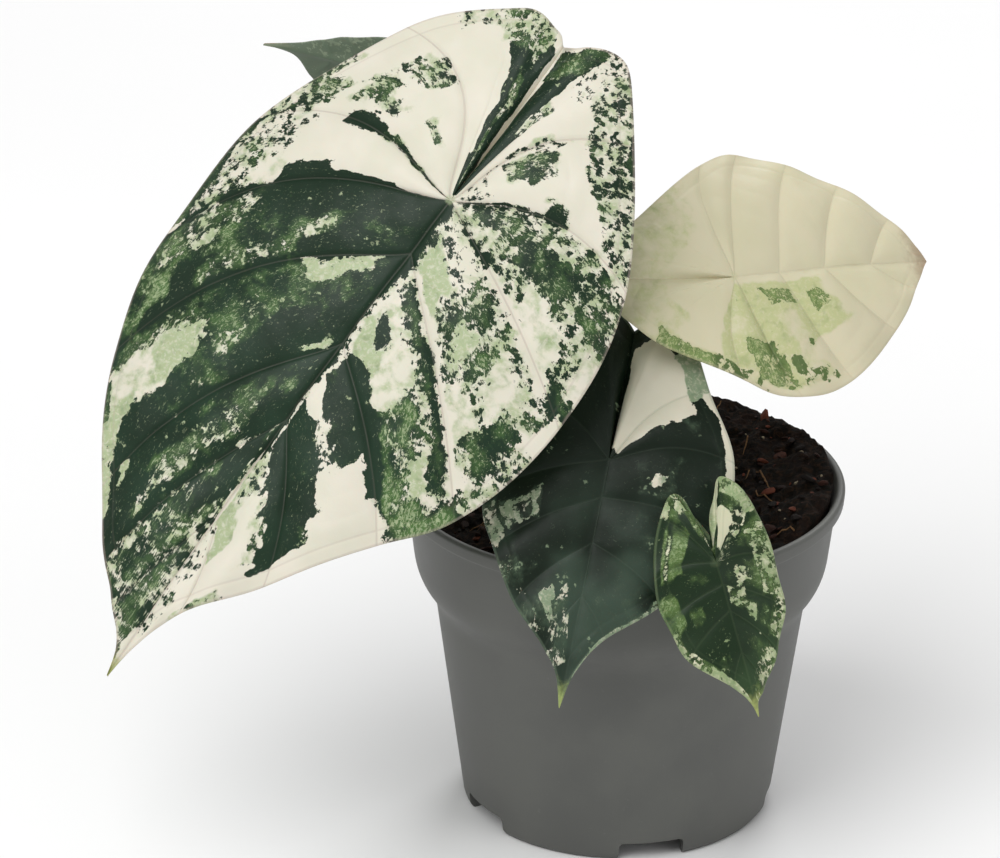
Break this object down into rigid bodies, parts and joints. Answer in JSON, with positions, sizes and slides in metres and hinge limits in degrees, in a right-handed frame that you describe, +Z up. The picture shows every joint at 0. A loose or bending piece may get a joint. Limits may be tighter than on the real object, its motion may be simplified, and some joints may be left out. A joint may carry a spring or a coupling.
{
  "type": "potted variegated dragon scale alocasia",
  "caption": "Houseplant in a round grey nursery pot: broad, deeply veined leaves with cream and green marbling on slim stalks, standing in dark bark soil",
  "frame": {"origin": "the middle of the pot's underside, on the surface that the pot stands on", "axes": "+Z up; seen from -Y the large leaf is on the left and the cream leaf on the right (+X)"},
  "size_m": [0.2176, 0.139, 0.2277],
  "materials": {
    "pot_plastic": "satin grey, faintly grained",
    "soil": "rough, loose bark and peat",
    "stalk": "satin, mottled",
    "leaf_marbled": "satin, marbled cream and dark green",
    "leaf_cream": "satin cream",
    "leaf_dark": "satin, nearly black green",
    "leaf_green": "satin, mottled green"
  },
  "bodies": {
    "root": {"pot": "pot_plastic", "soil": "soil", "crown": "stalk", "blade_large": "leaf_marbled", "blade_right": "leaf_cream", "blade_centre": "leaf_dark", "blade_small": "leaf_green", "blade_back": "leaf_green", "stalk_large": "stalk", "stalk_right": "stalk", "stalk_centre": "stalk", "stalk_small": "stalk", "stalk_back": "stalk"}
  },
  "joints": []
}
